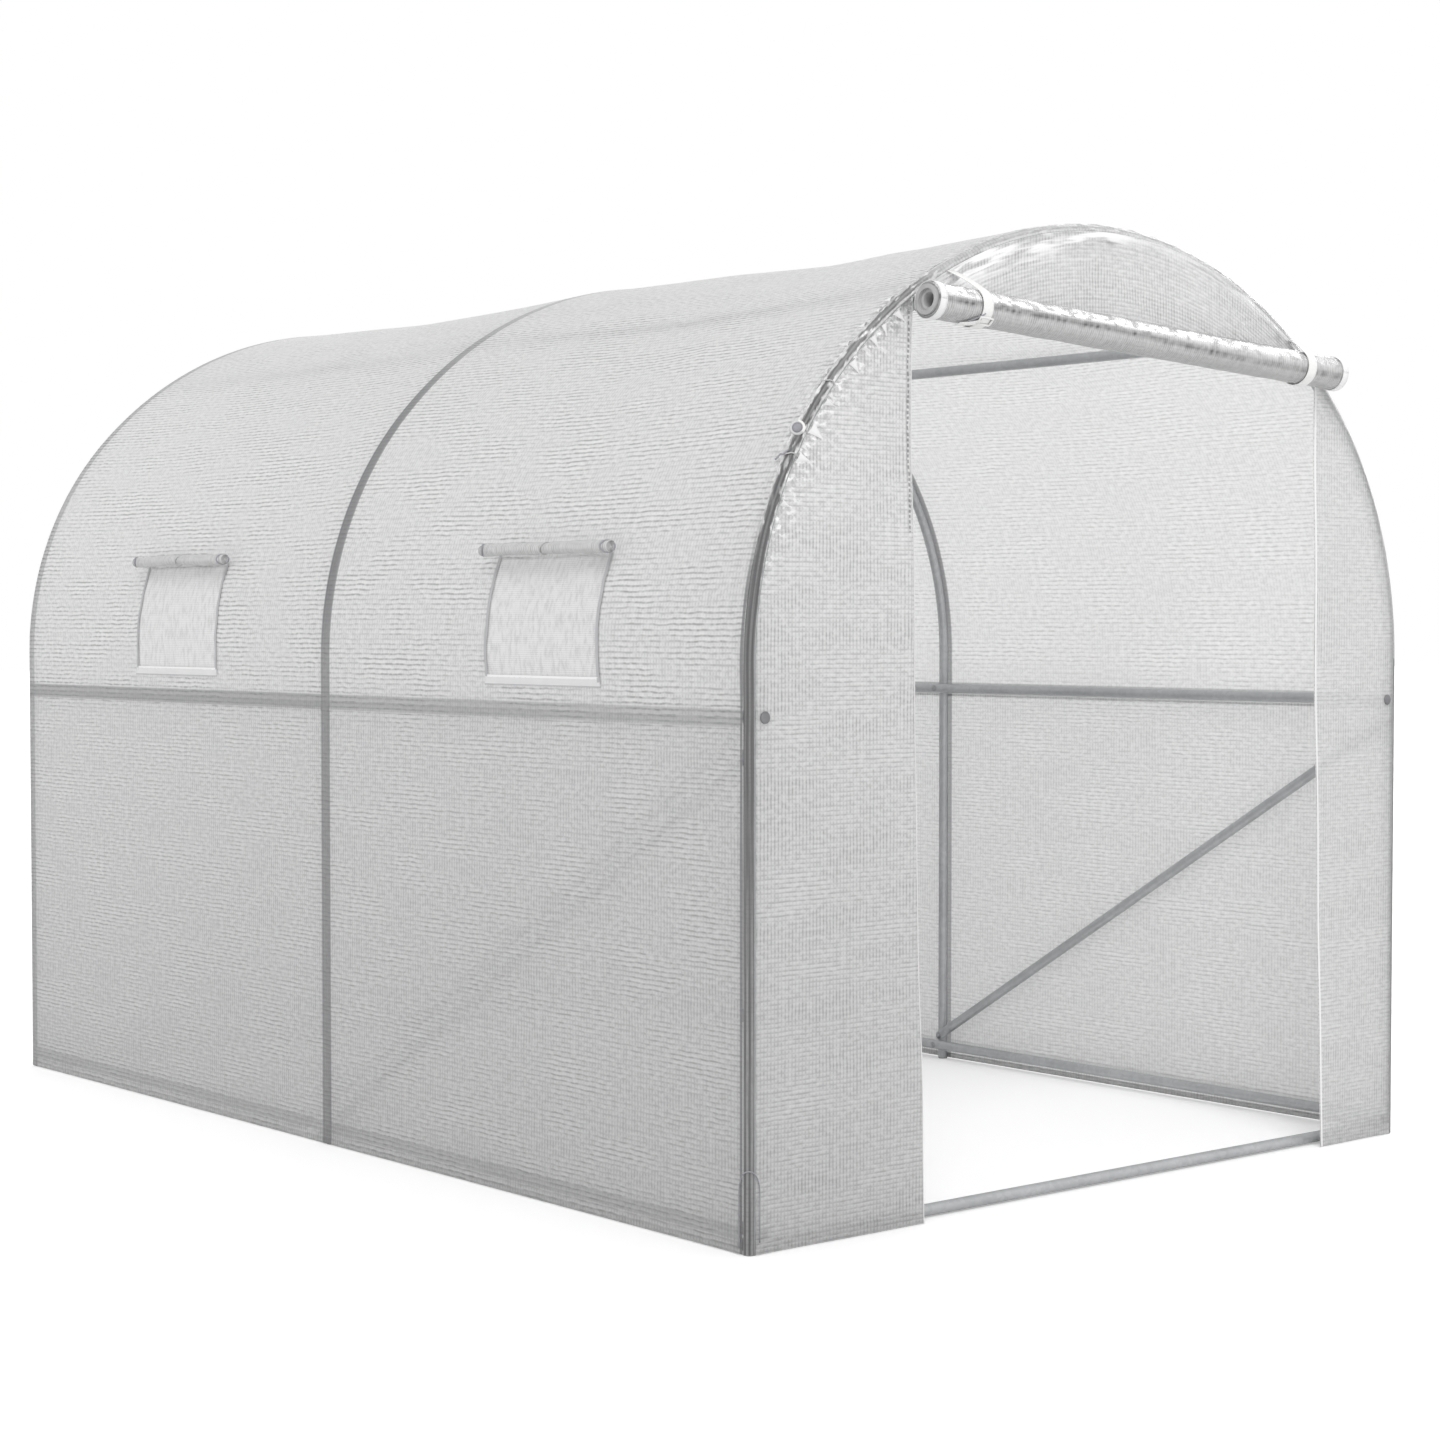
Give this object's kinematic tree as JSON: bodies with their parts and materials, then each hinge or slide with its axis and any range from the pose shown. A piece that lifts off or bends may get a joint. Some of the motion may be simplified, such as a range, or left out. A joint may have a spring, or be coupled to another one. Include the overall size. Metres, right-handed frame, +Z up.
{
  "type": "polytunnel greenhouse",
  "caption": "Walk-in polytunnel greenhouse: arched tube frame under a white woven cover, with mesh side windows and a rolled-up door.",
  "frame": {"origin": "on the ground at the middle of the footprint, rolled door included", "axes": "+Y along the tunnel from the doorway end to the closed end, +X to the side without windows, +Z up"},
  "size_m": [2.0316, 3.1146, 2.067],
  "materials": {
    "galvanised_tube": "satin",
    "cover_sheet": "satin",
    "grey_plastic": "matte",
    "strap_webbing": "matte"
  },
  "bodies": {
    "root": {"front_hoop_legs": "galvanised_tube", "front_hoop_shoulders": "galvanised_tube", "front_hoop_crown": "galvanised_tube", "middle_hoop_legs": "galvanised_tube", "middle_hoop_shoulders": "galvanised_tube", "middle_hoop_crown": "galvanised_tube", "back_hoop_legs": "galvanised_tube", "back_hoop_shoulders": "galvanised_tube", "back_hoop_crown": "galvanised_tube", "hoop_feet": "grey_plastic", "left_mid_rail": "galvanised_tube", "left_purlin": "galvanised_tube", "left_base_rail": "galvanised_tube", "left_brace": "galvanised_tube", "right_mid_rail": "galvanised_tube", "right_purlin": "galvanised_tube", "right_base_rail": "galvanised_tube", "right_brace": "galvanised_tube", "ridge_rail": "galvanised_tube", "front_sill": "galvanised_tube", "back_base_rail": "galvanised_tube", "front_bay_left_lower_sheet": "cover_sheet", "front_bay_left_upper_sheet": "cover_sheet", "front_bay_right_lower_sheet": "cover_sheet", "front_bay_right_upper_sheet": "cover_sheet", "front_bay_roof_sheet": "cover_sheet", "front_window_roll": "cover_sheet", "back_bay_left_lower_sheet": "cover_sheet", "back_bay_left_upper_sheet": "cover_sheet", "back_bay_right_lower_sheet": "cover_sheet", "back_bay_right_upper_sheet": "cover_sheet", "back_bay_roof_sheet": "cover_sheet", "back_window_roll": "cover_sheet", "front_left_flap": "cover_sheet", "front_right_flap": "cover_sheet", "front_top_sheet": "cover_sheet", "back_sheet": "cover_sheet", "door_roll": "cover_sheet", "door_roll_tube": "grey_plastic", "door_straps": "strap_webbing"}
  },
  "joints": []
}
